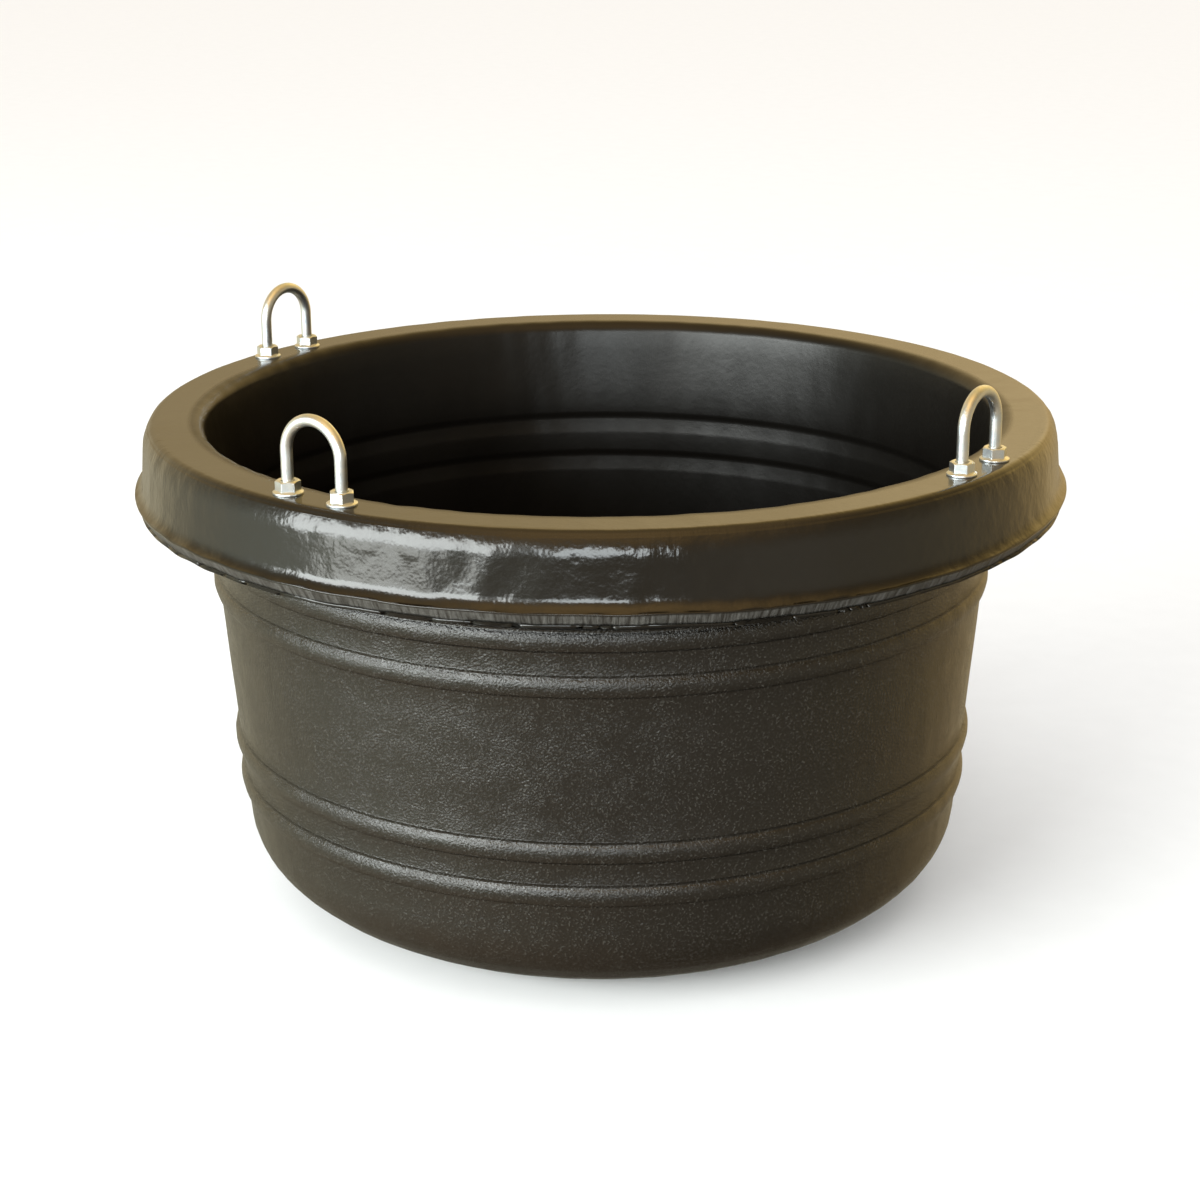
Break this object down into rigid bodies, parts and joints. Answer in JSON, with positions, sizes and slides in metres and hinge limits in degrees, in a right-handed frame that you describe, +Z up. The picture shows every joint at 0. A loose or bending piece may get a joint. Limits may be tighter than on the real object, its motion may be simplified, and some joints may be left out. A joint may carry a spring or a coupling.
{
  "type": "feed bucket",
  "caption": "Round black moulded feed tub with a broad rolled rim, hoop ribs round its body, and U-bolt eyes clamped to the rim for hanging it or tying it down.",
  "frame": {"origin": "middle of the flat base, on the surface it stands on", "axes": "+Z up along the tub's axis; the eyes stand at -Y, +X and -X, and the rim at +Y has none"},
  "size_m": [0.5996, 0.5996, 0.37],
  "materials": {
    "black_polyethylene": "satin, with a fine leather grain on the body's outside",
    "zinc_plated_steel": "bright zinc plate"
  },
  "bodies": {
    "root": {"lower_nut_front_1": "zinc_plated_steel", "lower_nut_front_2": "zinc_plated_steel", "lower_nut_left_1": "zinc_plated_steel", "lower_nut_left_2": "zinc_plated_steel", "lower_nut_right_1": "zinc_plated_steel", "lower_nut_right_2": "zinc_plated_steel", "tub": "black_polyethylene", "u_bolt_front": "zinc_plated_steel", "u_bolt_left": "zinc_plated_steel", "u_bolt_right": "zinc_plated_steel", "upper_nut_front_1": "zinc_plated_steel", "upper_nut_front_2": "zinc_plated_steel", "upper_nut_left_1": "zinc_plated_steel", "upper_nut_left_2": "zinc_plated_steel", "upper_nut_right_1": "zinc_plated_steel", "upper_nut_right_2": "zinc_plated_steel"}
  },
  "joints": []
}
